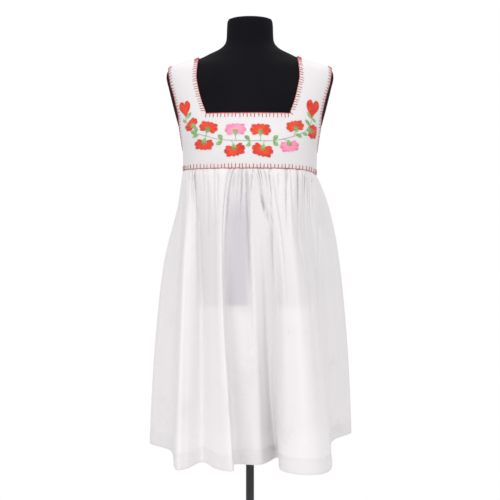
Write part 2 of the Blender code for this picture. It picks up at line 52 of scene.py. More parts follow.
# The dress and the form, with the CAD's own sizes.
NECKLINE = {-1: 1.259, 1: 1.268}
UNDERARM = 1.188
WAIST_SEAM = 1.136
SEAM_DIP = 0.0105
SEAM_DIP_SPREAD = 34
HEM = 0.485
FORM_SECTIONS = (
    (0.831, 0.143, 0.095, 0.105, 2.2),
    (0.838, 0.151, 0.102, 0.112, 2.2),
    (0.9, 0.142, 0.1, 0.104, 2.2),
    (0.985, 0.116, 0.092, 0.08, 2.1),
    (1.085, 0.136, 0.114, 0.091, 2.2),
    (1.136, 0.1462, 0.133, 0.098, 2.4),
    (1.18, 0.1488, 0.131, 0.102, 2.4),
    (1.242, 0.1665, 0.115, 0.107, 2.4),
    (1.287, 0.1785, 0.101, 0.107, 2.35),
    (1.3245, 0.1876, 0.09, 0.104, 2.25),
    (1.352, 0.1934, 0.081, 0.099, 2.05),
    (1.362, 0.192, 0.0775, 0.0965, 1.95),
    (1.3715, 0.185, 0.074, 0.093, 1.85),
    (1.3955, 0.115, 0.064, 0.082, 1.7),
    (1.406, 0.0935, 0.06, 0.077, 1.7),
    (1.4181, 0.069, 0.056, 0.07, 1.75),
    (1.43, 0.0575, 0.0535, 0.063, 1.85),
    (1.44, 0.0545, 0.052, 0.06, 1.95),
    (1.477, 0.0525, 0.05, 0.054, 2.0),
    (1.484, 0.05, 0.0475, 0.0515, 2.0),
    (1.486, 0.045, 0.0425, 0.0465, 2.0),
)
FORM = table(("height", "half_width", "front", "back", "squareness"), FORM_SECTIONS)
# How far the yoke stands off the form, by height.
EASE = (
    (1.136, 0.0075),
    (1.2, 0.005),
    (1.262, 0.0022),
    (1.345, 0.0016),
    (1.367, 0.0026),
    (1.385, 0.0016),
    (1.41, 0.0014),
)
# The skirt's folds: the angle of each at the seam, its place at the hem and how far above HEM it ends,
# how far it has opened half way down, how much the gathers hold it, and how far it sways sideways.
FOLD_NAMES = ("angle", "hem_x", "hem_y", "hem_up", "opens", "held", "sway")
FRONT_FOLDS = (
    (0, -0.238, 0.03, 0.009, 0.75, 0.55, 0),  # side seam, left
    (14, -0.182, -0.052, 0.008, 0.52, 0.5, 0),  # valley
    (26, -0.163, -0.184, 0, 0.62, 0.5, 0),  # left panel, outer ridge
    (33, -0.138, -0.187, 0, 0.6, 0.5, 0),  # left panel, outer flat
    (41, -0.105, -0.154, 0.007, 0.46, 0.3, 0.006),  # left panel, middle valley
    (58, -0.072, -0.188, 0, 0.6, 0.2, 0),  # left panel, inner flat
    (76, -0.036, -0.206, 0, 0.6, 0, -0.018),  # left panel, inner ridge
    (82, -0.032, -0.146, 0, 0.3, 0, -0.016),  # centre valley, left
    (88, 0.024, -0.149, 0, 0.42, 0, 0.004),  # centre valley, middle
    (93, 0.062, -0.1, 0.004, 0.3, 0, 0.014),  # centre valley, right
    (98, 0.066, -0.204, 0.002, 0.6, 0, 0.015),  # right panel, inner ridge
    (116, 0.126, -0.24, 0, 0.66, 0.3, 0),  # right panel, middle
    (132, 0.176, -0.186, 0, 0.5, 0.9, 0),  # right panel, outer ridge
    (146, 0.19, -0.04, 0.028, 0.58, 0.3, 0),  # valley
)
BACK_FOLDS = (
    (180, 0.244, 0.07, 0.027, 0.8, 0, 0),  # side seam, right
    (198, 0.19, 0.126, 0.016, 0.6, 0.1, 0),  # valley
    (214, 0.172, 0.206, 0.006, 0.66, 0.3, 0),  # ridge
    (230, 0.116, 0.156, 0.004, 0.5, 0.3, 0),  # valley
    (246, 0.074, 0.234, 0, 0.64, 0.3, 0),  # ridge
    (262, 0.026, 0.158, 0.002, 0.45, 0.3, 0),  # valley
    (278, -0.022, 0.238, 0, 0.64, 0.3, 0),  # ridge
    (294, -0.072, 0.156, 0.003, 0.45, 0.3, 0),  # valley
    (312, -0.128, 0.222, 0, 0.66, 0.3, 0),  # ridge
    (330, -0.166, 0.132, 0.004, 0.52, 0.4, 0),  # valley
    (346, -0.214, 0.116, 0.005, 0.66, 0.5, 0),  # ridge
)
FOLDS = table(FOLD_NAMES, FRONT_FOLDS + BACK_FOLDS)
# The furrows between the gathers: how many a panel has, and the least and most that each is off its
# even place, deep, long as a share of the skirt, and wide, with a furrow's spacing as 1. One in five
# is that much longer.
FURROWS_A_PANEL = 32
FURROW_OFF = (-0.38, 0.38)
FURROW_DEEP = (0.0020, 0.0072)
FURROW_LONG = (0.035, 0.14)
FURROW_WIDE = (0.10, 0.22)
LONG_FURROWS = 5
LONGER = 2.4
# How far the skirt puffs out below the seam, and how high its small waves are.
PUFF = 0.0050
PUFF_LONG = 0.13
SEAM_WAVE = 0.0004
SEAM_WAVE_LONG = 0.05
SKIRT_WAVE = 0.0012
FORM_CLEARANCE = 0.004
NECK_SIDEWAYS = -0.0045
# How far from the middle a strap's edges lie: the rise, the neck edge and the armhole edge.
STRAP_EDGES = (
    (0.00, 0.0915, 0.1598),
    (0.11, 0.1012, 0.1652),
    (0.26, 0.1095, 0.172),
    (0.45, 0.115, 0.18),
    (0.63, 0.1135, 0.1835),
    (1.00, 0.1122, 0.1862),
)
SHOULDER_ROUNDING = 1.7

# How finely the shells are made.
CLOTH = 0.0010
HALF_GAP = 0.0002
SKIRT_COLUMNS = 640
PANEL_STARTS = (0, SKIRT_COLUMNS)
SKIRT_ROWS = np.concatenate(
    [
        np.linspace(0, 0.10, 27)[:-1],
        np.linspace(0.10, 0.36, 31)[:-1],
        np.linspace(0.36, 0.93, 37)[:-1],
        np.linspace(0.93, 1, 9),
    ]
)
TURNED_HEM = 0.033
HEM_SHARE = TURNED_HEM / (WAIST_SEAM - HEM)
HEM_APART = 0.0012
FORM_ROWS = 170
FORM_ANGLES = 120
YOKE_STRAP_COLUMNS = 16
YOKE_NECK_COLUMNS = 44
YOKE_LOWER_ROWS = 30
YOKE_STRAP_ROWS = 44

# Creases in the skirt's front, as seen from the front: from a point below the seam to a lower point,
# how deep each is and how wide.
CREASES = (
    (-0.1226, 1.124, -0.119, 1.05, 0.006, 0.0028),
    (-0.118, 1.05, -0.104, 0.82, 0.0085, 0.0044),
    (-0.1336, 1.113, -0.131, 1.05, 0.0045, 0.003),
    (-0.094, 1.1, -0.094, 0.96, 0.003, 0.004),
    (-0.072, 1.12, -0.072, 1.045, 0.0035, 0.003),
    (-0.0438, 1.128, -0.05, 1.05, 0.0042, 0.0034),
    (-0.036, 1.122, -0.036, 1.07, 0.0045, 0.0024),
    (-0.0175, 1.128, -0.024, 1.02, 0.0075, 0.0032),
    (-0.0066, 1.126, -0.004, 1.045, 0.0055, 0.0026),
    (0.0066, 1.126, -0.002, 1.05, 0.005, 0.0026),
    (-0.0055, 1.06, 0.004, 0.76, 0.0085, 0.0036),
    (0.0175, 1.122, 0.0307, 1.05, 0.006, 0.0028),
    (0.027, 1.07, 0.0455, 0.985, 0.0062, 0.0034),
    (0.0455, 1.018, 0.047, 0.74, 0.011, 0.0044),
    (0.044, 1.128, 0.045, 1.04, 0.0065, 0.0028),
    (0.064, 1.122, 0.063, 1.07, 0.004, 0.0024),
    (0.081, 1.128, 0.081, 1.000, 0.0065, 0.0026),
    (0.085, 1.08, 0.086, 0.96, 0.003, 0.0035),
    (0.106, 1.128, 0.107, 0.96, 0.006, 0.0028),
    (0.122, 1.12, 0.124, 1.05, 0.0045, 0.0028),
    (0.14, 1.115, 0.144, 1.05, 0.0045, 0.0028),
    (0.157, 1.01, 0.158, 0.88, 0.0035, 0.004),
    (0.108, 0.98, 0.136, 0.84, 0.0035, 0.008),
    (0.134, 0.86, 0.151, 0.6, 0.0025, 0.01),
    (-0.155, 0.96, -0.172, 0.64, 0.002, 0.012),
)
# Where the skirt lies close enough to the form to show it, as seen from the front: the middle of each
# place, how wide it is, and how strongly it shows. There the cloth is more see-through, and its colour
# is tinted with a painted shade of the dark form behind.
CLOSE_PLACES = ((-0.0260, 0.0250, 1.0), (-0.086, 0.026, 0.25), (0.096, 0.036, 0.22))


def smooth(x, xs, ys):
    """The value at x of a smooth curve through the points (xs, ys) that never overshoots them."""
    xs, ys = np.asarray(xs, float), np.asarray(ys, float)
    step = np.diff(xs)
    slope = np.diff(ys) / step
    tangent = np.zeros(len(xs))
    turning = slope[:-1] * slope[1:] <= 0
    before, after = 2 * step[1:] + step[:-1], step[1:] + 2 * step[:-1]
    with np.errstate(divide="ignore", invalid="ignore"):
        mean = (before + after) / (before / slope[:-1] + after / slope[1:])
    tangent[1:-1] = np.where(turning, 0.0, mean)
    tangent[0], tangent[-1] = slope[0], slope[-1]
    x = np.clip(x, xs[0], xs[-1])
    i = np.clip(np.searchsorted(xs, x, side="right") - 1, 0, len(step) - 1)
    t = (x - xs[i]) / step[i]
    return (
        ys[i] * (1 + 2 * t) * (1 - t) ** 2
        + ys[i + 1] * t**2 * (3 - 2 * t)
        + step[i] * (tangent[i] * t * (1 - t) ** 2 - tangent[i + 1] * t**2 * (1 - t))
    )


def catmull_rom(before, here, after, beyond, t):
    """The point at t between here (0) and after (1) of the smooth curve through all four."""
    return 0.5 * (
        2 * here
        + (after - before) * t
        + (2 * before - 5 * here + 4 * after - beyond) * t**2
        + (3 * here - before - 3 * after + beyond) * t**3
    )


def unit(ways):
    """The directions, each made 1 long."""
    return ways / np.linalg.norm(ways, axis=-1, keepdims=True)


def lengths(line):
    """How far along a line of points each of them lies."""
    return np.concatenate([[0], np.cumsum(np.linalg.norm(np.diff(line, axis=0), axis=1))])


def read_line(values, length, where):
    """Points or directions given along a line at these lengths, read at others."""
    return np.stack([np.interp(where, length, values[:, i]) for i in range(3)], axis=-1)


def form_size(height, name):
    """One column of FORM at any height."""
    return smooth(height, FORM["height"], FORM[name])


def ease(height):
    return smooth(height, *zip(*EASE))


def depth(height, y):
    """The form's depth at that height, towards the front where y is negative and the back elsewhere."""
    return np.where(y < 0, form_size(height, "front"), form_size(height, "back"))


def form_point(height, angle):
    """The point of the form's surface at that height and angle."""
    height, turn = np.broadcast_arrays(height, np.radians(angle))
    power = 2 / form_size(height, "squareness")
    side, ahead = np.cos(turn), np.sin(turn)
    x = -form_size(height, "half_width") * np.sign(side) * np.abs(side) ** power
    y = -depth(height, -ahead) * np.sign(ahead) * np.abs(ahead) ** power
    return np.stack([x, y, height], axis=-1)


def form_face(x, height, side):
    """The point of the form's front (side -1) or back (side 1) that lies at x and that height."""
    x, height = np.broadcast_arrays(x, height)
    across = np.clip(np.abs(x) / form_size(height, "half_width"), 0, 1)
    power = form_size(height, "squareness")
    y = side * depth(height, np.full(height.shape, side)) * (1 - across**power) ** (1 / power)
    return np.stack([x, y, height], axis=-1)


def outside_form(points):
    """How far round the form a point lies: 1 on its surface, more outside it."""
    x, y, z = np.moveaxis(points, -1, 0)
    power = form_size(z, "squareness")
    across, along = np.abs(x) / form_size(z, "half_width"), np.abs(y) / depth(z, y)
    return (across**power + along**power) ** (1 / power)


def lift(points, distance):
    """The points, moved that far out along the normal of the form's surface."""
    nudge = 1e-5
    steps = nudge * np.eye(3)
    normal = np.stack([outside_form(points + s) - outside_form(points - s) for s in steps], axis=-1)
    return points + unit(normal) * np.asarray(distance)[..., None]


def shoulder_height(x):
    """The height of the form's shoulder line at x, where its front meets its back."""
    heights = np.linspace(1.3620, 1.4400, 200)
    widths = form_size(heights, "half_width")
    return np.interp(np.abs(x), widths[::-1], heights[::-1])


def new_mesh(name, points, faces, uv=None):
    """A smooth-shaded object on the CAD's one body. uv holds one pair for each point."""
    mesh = bpy.data.meshes.new(name)
    mesh.from_pydata(np.asarray(points, float).tolist(), [], [tuple(map(int, face)) for face in faces])
    if uv is not None:
        corner = np.empty(len(mesh.loops), int)
        mesh.loops.foreach_get("vertex_index", corner)
        mesh.uv_layers.new(name="cut").uv.foreach_set("vector", np.asarray(uv, float)[corner].ravel())
    mesh.shade_smooth()
    obj = bpy.data.objects.new(name, mesh)
    bpy.context.scene.collection.objects.link(obj)
    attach(obj, "root")
    return obj


def faces_between(index):
    """Faces between a grid of points, given by their numbers, facing out when the grid's rows go up
    and its columns go round with the angle."""
    corners = (index[:-1, :-1], index[:-1, 1:], index[1:, 1:], index[1:, :-1])
    return np.stack(corners, axis=-1).reshape(-1, 4)


def joined(grids):
    """The points and faces of several grids, each of rows of points."""
    points = np.concatenate([grid.reshape(-1, 3) for grid in grids])
    first = np.cumsum([0] + [grid.size // 3 for grid in grids])
    number = np.arange(len(points))
    faces = [
        faces_between(number[start:end].reshape(grid.shape[:2]))
        for grid, start, end in zip(grids, first, first[1:])
    ]
    return points, np.concatenate(faces)


def armhole_angle(height, side):
    """The angle from the side at which the armhole cuts the yoke below the neckline."""
    top = NECKLINE[side]
    across = strap_edges(0, 1)[1] / form_size(top, "half_width")
    full = np.degrees(np.arccos(across ** (form_size(top, "squareness") / 2)))
    return full * np.clip((height - UNDERARM) / (top - UNDERARM), 0, 1) ** 0.5


def strap_edges(rise, hand):
    """How far from the middle a strap's neck edge and armhole edge lie, from the neckline (0) to the
    shoulder (1). hand is -1 on the -X side."""
    rises, necks, armholes = zip(*STRAP_EDGES)
    return smooth(rise, rises, necks) + hand * NECK_SIDEWAYS, smooth(rise, rises, armholes)


def yoke_columns(side):
    """How far round the lower yoke its columns lie, from one armhole (0) to the other (1)."""
    top = NECKLINE[side]
    (left_neck, left_arm), (right_neck, right_arm) = strap_edges(0, -1), strap_edges(0, 1)
    across = np.concatenate(
        [
            np.linspace(left_arm, left_neck, YOKE_STRAP_COLUMNS + 1),
            np.linspace(left_neck, -right_neck, YOKE_NECK_COLUMNS + 1)[1:-1],
            np.linspace(-right_neck, -right_arm, YOKE_STRAP_COLUMNS + 1),
        ]
    )
    ratio = across / form_size(top, "half_width")
    cosine = np.sign(ratio) * np.abs(ratio) ** (form_size(top, "squareness") / 2)
    angle = np.degrees(np.arccos(cosine))
    return (angle - angle[0]) / (angle[-1] - angle[0])


def pucker(points):
    """Small unevenness of the yoke's cloth: soft ripples, stronger near the gathered seam."""
    x, y, z = np.moveaxis(points, -1, 0)
    round_it = np.arctan2(y, x)
    near_seam = np.exp(-(((z - WAIST_SEAM) / 0.016) ** 2))
    ripple = np.sin(41 * round_it + 3 * np.sin(7 * round_it)) + 0.6 * np.sin(67 * round_it + 1.3)
    broad = np.sin(31 * x + 17 * z) * np.sin(23 * z - 9 * x + 1.0)
    return 0.00035 * near_seam * ripple + 0.0004 * broad


def yoke_point(on_form, off):
    """A point of the form's surface, moved out to the cloth and by off beyond its inner face."""
    return lift(on_form, ease(on_form[..., 2]) + off + np.maximum(pucker(on_form), -0.0008))


def yoke_rows(side, off=0.0):
    """The yoke's rows of points: across the chest from the seam up, then up each strap."""
    columns = yoke_columns(side)
    lower = []
    for share in np.linspace(0, 1, YOKE_LOWER_ROWS + 1):
        start = armhole_angle(WAIST_SEAM + share * (NECKLINE[side] - WAIST_SEAM), side)
        angles = (start + columns * (180 - 2 * start)) * -side
        seam = seam_height(angles)
        row = yoke_point(form_point(seam + share * (NECKLINE[side] - seam), angles), off)
        row[[0, -1], 1] += side * HALF_GAP
        if share == 0:
            row[:, 2] = seam + HALF_GAP
        lower.append(row)
    straps = []
    for hand in (-1, 1):
        rows = []
        for rise in np.arange(1, YOKE_STRAP_ROWS + 1) / YOKE_STRAP_ROWS:
            neck, arm = strap_edges(rise, hand)
            x = hand * np.linspace(arm, neck, YOKE_STRAP_COLUMNS + 1)[:: 1 if hand < 0 else -1]
            risen = 1 - (1 - rise) ** SHOULDER_ROUNDING
            height = NECKLINE[side] + risen * (shoulder_height(x) - NECKLINE[side])
            row = yoke_point(form_face(x, height, side), off)
            if rise == 1:
                row[:, 1] = side * HALF_GAP
            rows.append(row)
        straps.append(np.array(rows))
    return np.array(lower), straps


def make_yoke(name, side, material):
    lower, straps = yoke_rows(side)
    points = np.concatenate([part.reshape(-1, 3) for part in (lower, *straps)])
    number, chest = np.arange(len(points)), lower.size // 3
    index = number[:chest].reshape(lower.shape[:2])
    across = YOKE_STRAP_COLUMNS + 1
    faces = [faces_between(index)]
    ends = index[-1:, :across], index[-1:, -across:]
    for below, strap in zip(ends, number[chest:].reshape(2, -1, across)):
        faces.append(faces_between(np.concatenate([below, strap])))
    faces = np.concatenate(faces)
    if side > 0:
        faces = faces[:, ::-1]
    obj = new_mesh(name, points, faces, uv=points[:, [0, 2]])
    solid = obj.modifiers.new("wall", "SOLIDIFY")
    solid.thickness = CLOTH
    solid.offset = 1
    solid.use_even_offset = False
    obj.data.materials.append(material)
    return obj


def opening(share, opens, held):
    """How far a fold has opened out at a share of the way down: 0 at the seam, 1 at the hem. held is
    how much the gathers keep it back near the seam."""
    return share / ((1 / opens - 2) * (1 - share) + 1) * (1 - held * np.exp(-((share / 0.22) ** 2.5)))


def fold_values(*names):
    """Some columns of the folds' table side by side."""
    return np.stack([FOLDS[name] for name in names], axis=-1)


def through_folds(values, place):
    """A smooth closed curve through one value a fold, read at places counted in folds."""
    count = len(values)
    i = np.floor(place).astype(int)
    t = (place - i)[:, None]
    return catmull_rom(*(values[(i + k) % count] for k in (-1, 0, 1, 2)), t)


def column_places(first, last):
    """Where the columns of one skirt panel lie, counted in folds, evenly along the hem."""
    fine = np.linspace(first, last, 60 * (last - first) + 1)
    hem = fold_values("hem_x", "hem_y")
    along = through_folds(hem, fine)
    length = lengths(along)
    return np.interp(np.linspace(0, length[-1], SKIRT_COLUMNS + 1), length, fine)


def seam_height(angle):
    """The height of the seam between yoke and skirt, which dips at the side seam at +X."""
    return WAIST_SEAM - SEAM_DIP * np.exp(-((np.abs((angle % 360) - 180) / SEAM_DIP_SPREAD) ** 2))


def at_seam(angle):
    """Where the yoke's lower edge lies at an angle, from above."""
    height = seam_height(angle)
    return lift(form_point(height, angle), ease(height))[:, :2]


def sideways(row):
    """The level direction out of the skirt at each point of a closed loop."""
    along = np.roll(row, -1, axis=0) - np.roll(row, 1, axis=0)
    return unit(np.stack([along[:, 1], -along[:, 0]], axis=-1))


def gathers(count):
    """The gathers once round: how deep the furrows between them are at each column, and how far down
    each furrow reaches. One row a column, one column a furrow."""
    rng = np.random.default_rng(7)
    total = 2 * FURROWS_A_PANEL
    centre = np.arange(total) + rng.uniform(*FURROW_OFF, total)
    deep = rng.uniform(*FURROW_DEEP, total)
    reach = rng.uniform(*FURROW_LONG, total)
    reach[rng.permutation(total)[: total // LONG_FURROWS]] *= LONGER
    place = np.arange(count) / count * total
    away = (place[:, None] - centre + total / 2) % total - total / 2
    width = rng.uniform(*FURROW_WIDE, total)
    return np.exp(-(np.abs(away / width) ** 1.4)) * deep, reach


def skirt_loops():
    """Closed loops of points round the skirt, from the seam down."""
    angle = FOLDS["angle"]
    seams = (0, len(FRONT_FOLDS), len(angle))
    place = np.concatenate([column_places(a, b)[:-1] for a, b in zip(seams, seams[1:])])
    hem = fold_values("hem_x", "hem_y")
    opens, held, sway = (fold_values(name) for name in ("opens", "held", "sway"))
    hem_height = HEM + through_folds(fold_values("hem_up"), place)[:, 0]
    yoke_edge = at_seam(angle)
    turned_to = smooth(place, np.arange(len(angle) + 1), np.append(angle, 360.0))
    top, top_height = at_seam(turned_to), seam_height(turned_to) - HALF_GAP
    furrows, reach = gathers(len(place))
    turn = np.arange(len(place)) / len(place) * 2 * np.pi
    loops = []
    for share in SKIRT_ROWS:
        away = (hem - yoke_edge) * opening(share, opens, held) + sway * (np.sin(np.pi * share**0.6), 0)
        row = top + through_folds(away, place)
        start = 0.35 + 0.65 * min(1.0, share / 0.02)
        furrow = (furrows * np.exp(-((share / reach) ** 1.8))).sum(axis=1)
        near_seam = SEAM_WAVE * np.exp(-((share / SEAM_WAVE_LONG) ** 2))
        fine = near_seam * np.sin(150 * turn + 2 * np.sin(5 * turn))
        wave = np.sin(37 * turn + 5 * share) * np.sin(11 * turn - 3 * share)
        wave *= SKIRT_WAVE * np.sin(share * 3)
        out = sideways(row)
        puff = PUFF * np.exp(-((share / PUFF_LONG) ** 2)) * (0.25 + 0.75 * np.abs(out[:, 1]))
        row = row + out * ((puff - furrow) * start + fine + wave)[:, None]
        height = top_height - share * (top_height - hem_height)
        loops.append(np.column_stack([row, height]))
    loops = np.stack(loops)
    add_creases(loops)
    for row in loops:
        clear_of_form(row)
    return loops


def add_creases(loops):
    """Presses the front's creases into the loops, each where it lies in the front view."""
    panel = loops[:, : SKIRT_COLUMNS + 1]
    outs = np.stack([sideways(row[:, :2]) for row in loops])[:, : SKIRT_COLUMNS + 1]
    total = np.zeros(panel.shape[:2])
    for x0, z0, x1, z1, deep, wide in CREASES:
        for i, points in enumerate(panel):
            along = (z0 - points[:, 2].mean()) / (z0 - z1)
            if not -0.1 < along < 1.1:
                continue
            off = np.abs(points[:, 0] - x0 - (x1 - x0) * along)
            off += 0.4 * np.maximum(points[:, 1] + 0.08, 0)
            length = lengths(points[:, :2])
            away = (length - length[np.argmin(off)]) / wide
            taper = np.clip((along + 0.1) / 0.15, 0, 1) * np.clip((1.1 - along) / 0.7, 0, 1) ** 0.8
            total[i] -= deep * taper * np.exp(-(np.abs(away) ** 1.4))
    panel[..., :2] += outs * total[..., None]


def skirt_row(loops, share):
    """The skirt's loop of points at any share of the way down."""
    after = min(max(np.searchsorted(SKIRT_ROWS, share), 1), len(SKIRT_ROWS) - 1)
    part = (share - SKIRT_ROWS[after - 1]) / (SKIRT_ROWS[after] - SKIRT_ROWS[after - 1])
    return loops[after - 1] + (loops[after] - loops[after - 1]) * part


def level_out(loop):
    """The level direction out of the skirt at each point of a loop, in three numbers."""
    return np.column_stack([sideways(loop[:, :2]), np.zeros(len(loop))])


def clear_of_form(points):
    """Pushes points straight out from the pole's axis where they would lie in or too near the form."""
    share = outside_form(points)
    reach = np.linalg.norm(points[:, :2], axis=1)
    beside = points[:, 2] > FORM["height"][0] - 0.02
    least = np.where(beside, 1 + FORM_CLEARANCE / (reach / share), 0)
    points[:, :2] *= np.maximum(1, least / share)[:, None]


def closeness(points):
    """How strongly the form shows through the skirt at each point, from 0 to 1: the cloth is more
    see-through there, and its colour takes a painted shade of the form.
    """
    x, height = points[..., 0], points[..., 2]
    shown = 0
    for middle, wide, power in CLOSE_PLACES:
        shown = shown + power * np.exp(-(np.abs((x - middle) / wide) ** 5))
    below_seam = np.clip((1.11 - height) / 0.08, 0.25, 1)
    return shown * below_seam / (1 + np.exp((FORM["height"][0] - height) / 0.0015))


def make_skirt(material):
    """The two skirt panels, each one layer of cloth whose hem turns up inside."""
    loops = skirt_loops()
    edge = loops[-1]
    down = unit(loops[-1] - loops[-2])
    inside = -level_out(edge)
    bend = [edge + 0.0006 * down + into * inside for into in (0.0003, 0.0009)]
    ups = np.linspace(0, 1, 9)
    turned_up = [skirt_row(loops, 1 - up * HEM_SHARE) + inside * HEM_APART for up in ups]
    every = np.concatenate([loops, bend, turned_up])
    fallen = np.linalg.norm(np.diff(every, axis=0), axis=-1).mean(axis=1)
    fallen = np.concatenate([[0], np.cumsum(fallen)])
    across = lengths(edge)
    across = np.append(across, across[-1] + 0.002)
    panels = []
    for name, first in zip(("skirt_front_cloth", "skirt_back_cloth"), PANEL_STARTS):
        index = (first + np.arange(SKIRT_COLUMNS + 1)) % every.shape[1]
        panel = every[:, index].copy()
        for end, beside in ((0, 1), (-1, -2)):
            panel[:, end] += HALF_GAP * unit(panel[:, beside] - panel[:, end])
        u = np.broadcast_to(across[first : first + SKIRT_COLUMNS + 1], panel.shape[:2])
        v = np.broadcast_to(-fallen[:, None], panel.shape[:2])
        uv = np.stack([u, v], axis=-1)
        points, faces = joined([panel])
        obj = new_mesh(name, points, faces[:, ::-1], uv=uv.reshape(-1, 2))
        # How strongly the form shows through: it sets the cloth's see-through share and a painted shade
        # tint of its colour.
        see_through_and_painted_shade = obj.data.attributes.new("see_through_and_painted_shade", "FLOAT", "POINT")
        see_through_and_painted_shade.data.foreach_set("value", closeness(panel).ravel())
        obj.data.materials.append(material)
        panels.append(obj)
    return panels, loops


def make_hem_stitch(name, loops, first, material):
    """The row of small stitches that holds the turned hem, on the outside of one panel."""
    line = skirt_row(loops, 1 - HEM_SHARE)
    out = level_out(line)
    index = (first + np.arange(SKIRT_COLUMNS + 1)) % len(line)
    line, out = line[index], out[index]
    length = lengths(line)
    rng = np.random.default_rng(16 + first)
    bow = 0.0002 + 0.00025 * np.sin(np.pi * np.linspace(0.05, 0.95, 5))
    paths = []
    for start in np.arange(0.002, length[-1] - 0.006, HEM_STITCH):
        at = start + np.linspace(0, HEM_STITCH * HEM_STITCH_FILLS, 5) + rng.uniform(-0.0002, 0.0002)
        spots, normals = read_line(line, length, at), read_line(out, length, at)
        paths.append((spots + normals * bow[:, None], normals))
    obj = strand_mesh(name, paths, HEM_THREAD_WIDE, HEM_THREAD_HIGH, material)
    return obj


def make_form(material):
    """The form, more finely than the CAD's."""
    heights = FORM["height"]
    between = np.linspace(heights[0] + 0.0002, heights[-1] - 0.0005, FORM_ROWS)
    rows = np.unique(np.concatenate([between, heights[:2], heights[-3:]]))
    angles = np.arange(FORM_ANGLES) * 360 / FORM_ANGLES
    points = np.concatenate([form_point(np.full_like(angles, height), angles) for height in rows])
    index = np.arange(len(points)).reshape(-1, FORM_ANGLES)
    faces = faces_between(np.column_stack([index, index[:, 0]])).tolist()
    faces += [index[0, ::-1], index[-1]]
    obj = new_mesh("form_cover", points, faces)
    obj.data.materials.append(material)
    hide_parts("form")
    return obj


# The embroidery, placed in the front view. A blossom or heart is given by its node (a blossom's without
# its first word), the x and z of its middle, how far it is turned anticlockwise and its width. A blossom
# turned by 180 hangs down.
BLOSSOMS = (
    ("upper_1", -0.1286, 1.2365, 50, 0.034, "red"),
    ("upper_2", -0.0898, 1.228, -16, 0.0445, "red"),
    ("upper_3", -0.0317, 1.222, 2, 0.049, "pink"),
    ("upper_4", 0.0229, 1.221, -2, 0.0485, "red"),
    ("upper_5", 0.098, 1.2308, 14, 0.0425, "red"),
    ("lower_1", -0.0981, 1.1887, 174, 0.0435, "red"),
    ("lower_2", -0.0325, 1.175, 192, 0.048, "red"),
    ("lower_3", 0.0264, 1.1745, 166, 0.049, "red"),
    ("lower_4", 0.0844, 1.1845, 190, 0.0435, "pink"),
    ("lower_5", 0.1372, 1.221, 258, 0.034, "red"),
)
HEARTS = (
    ("heart_left", -0.1442, 1.2735, 9, 0.025),
    ("heart_right", 0.1385, 1.2735, -8, 0.0285),
)
# A blossom's outline: the angle from level, and how far the petals reach there.
PETALS = (
    (-90, 0.11),
    (-70, 0.19),
    (-45, 0.37),
    (-25, 0.47),
    (0, 0.46),
    (20, 0.46),
    (45, 0.34),
    (70, 0.27),
    (90, 0.25),
)
HEART_TALL = 1.80
SCALLOPS = 8
SCALLOP_DEEP = 0.24
# Leaves by their node, if they have one, the x and z of their root and of their tip, and how wide and
# how curled they are.
LEAVES = (
    ("leaf_left_1", -0.0592, 1.199, -0.069, 1.2085, 0.009, -0.15),
    ("leaf_left_2", -0.06, 1.1965, -0.0725, 1.188, 0.0088, 0.15),
    ("leaf_middle_1", -0.001, 1.1965, -0.0115, 1.206, 0.009, -0.15),
    ("leaf_middle_2", -0.0005, 1.1945, -0.0085, 1.1845, 0.0078, 0.5),
    ("leaf_right_1", 0.0505, 1.197, 0.06, 1.207, 0.009, 0.15),
    ("leaf_right_2", 0.05, 1.195, 0.0605, 1.186, 0.009, -0.15),
    ("", -0.1385, 1.25, -0.13, 1.2635, 0.0072, 0.1),
    ("", -0.1425, 1.2405, -0.1475, 1.2495, 0.0056, -0.1),
    ("", -0.116, 1.2175, -0.1175, 1.2295, 0.0078, 0.1),
    ("", -0.115, 1.214, -0.1285, 1.2215, 0.0062, 0.2),
    ("", -0.111, 1.211, -0.1235, 1.2065, 0.0074, -0.2),
    ("", 0.1355, 1.249, 0.126, 1.264, 0.007, -0.1),
    ("", 0.13, 1.234, 0.1215, 1.2465, 0.0068, -0.1),
    ("", 0.137, 1.251, 0.144, 1.242, 0.0054, 0.1),
    ("", 0.113, 1.2165, 0.124, 1.212, 0.008, 0.1),
    ("", 0.0985, 1.212, 0.112, 1.2065, 0.0078, 0.1),
)
# Stems by their points in the front view; each ends at a calyx or a leaf.
STEMS = (
    ((-0.129, 1.227), (-0.114, 1.2145), (-0.095, 1.208), (-0.065, 1.1988), (-0.018, 1.1955)),
    ((-0.018, 1.1955), (0.049, 1.196), (0.086, 1.2045), (0.115, 1.2165), (0.127, 1.229), (0.137, 1.248)),
    ((0.137, 1.248), (0.1392, 1.256)),
    ((-0.129, 1.227), (-0.1385, 1.24), (-0.1425, 1.256)),
    ((-0.0945, 1.2078), (-0.093, 1.218)),
    ((-0.0955, 1.208), (-0.0975, 1.1985)),
    ((-0.03, 1.1955), (-0.0315, 1.208)),
    ((-0.04, 1.196), (-0.035, 1.188)),
    ((0.022, 1.1957), (0.023, 1.2085)),
    ((0.031, 1.1957), (0.029, 1.188)),
    ((0.093, 1.207), (0.1, 1.22)),
    ((0.071, 1.2008), (0.082, 1.196)),
    ((0.127, 1.229), (0.133, 1.227)),
)
BLOSSOM_FOOT = np.array([0.0, -0.13])
CALYX = 0.048
THREAD_WIDE = 0.00075
THREAD_HIGH = 0.00045
STEM_WIDE = 0.0012
HEM_THREAD_WIDE = 0.0007
HEM_THREAD_HIGH = 0.0004
HEM_STITCH = 0.0034
HEM_STITCH_FILLS = 0.62
# A strand's section: how far across and how high its five points lie.
STRAND = np.array([(-0.5, -0.2), (-0.32, 0.75), (0.0, 1.0), (0.32, 0.75), (0.5, -0.2)])


def on_yoke(x, z, off, side=-1):
    """Points at x and z in the front view, that far off the yoke's outer face."""
    return yoke_point(form_face(np.asarray(x, float), np.asarray(z, float), side), CLOTH + off)


